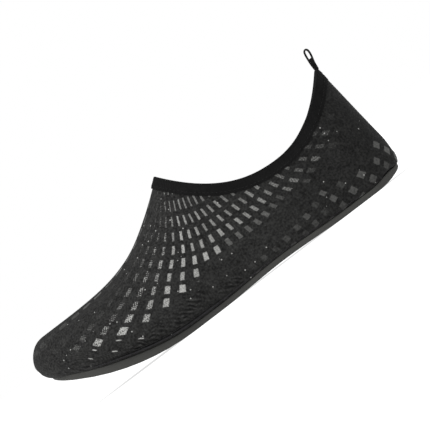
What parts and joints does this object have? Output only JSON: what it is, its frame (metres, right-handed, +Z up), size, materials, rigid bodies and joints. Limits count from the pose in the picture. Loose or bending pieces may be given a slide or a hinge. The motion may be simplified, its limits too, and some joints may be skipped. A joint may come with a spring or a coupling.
{
  "type": "water shoe",
  "caption": "Low slip-on water shoe for the left foot: thin rubber sole with toe spring, stretch fabric upper, taped collar and heel pull loop.",
  "frame": {"origin": "on the floor below the middle of the shoe's box", "axes": "+X towards the toe, +Y towards the outer side of the left foot, +Z up"},
  "size_m": [0.2572, 0.0972, 0.0977],
  "materials": {
    "sole_rubber": "matte moulded rubber",
    "footbed_cloth": "matte cloth over foam",
    "stretch_jersey": "matte stretch jersey with a printed pattern",
    "collar_elastic": "matte folded elastic",
    "loop_webbing": "matte woven tape"
  },
  "bodies": {
    "root": {"outsole": "sole_rubber", "insole": "footbed_cloth", "upper": "stretch_jersey", "collar_tape": "collar_elastic", "pull_loop": "loop_webbing"}
  },
  "joints": []
}
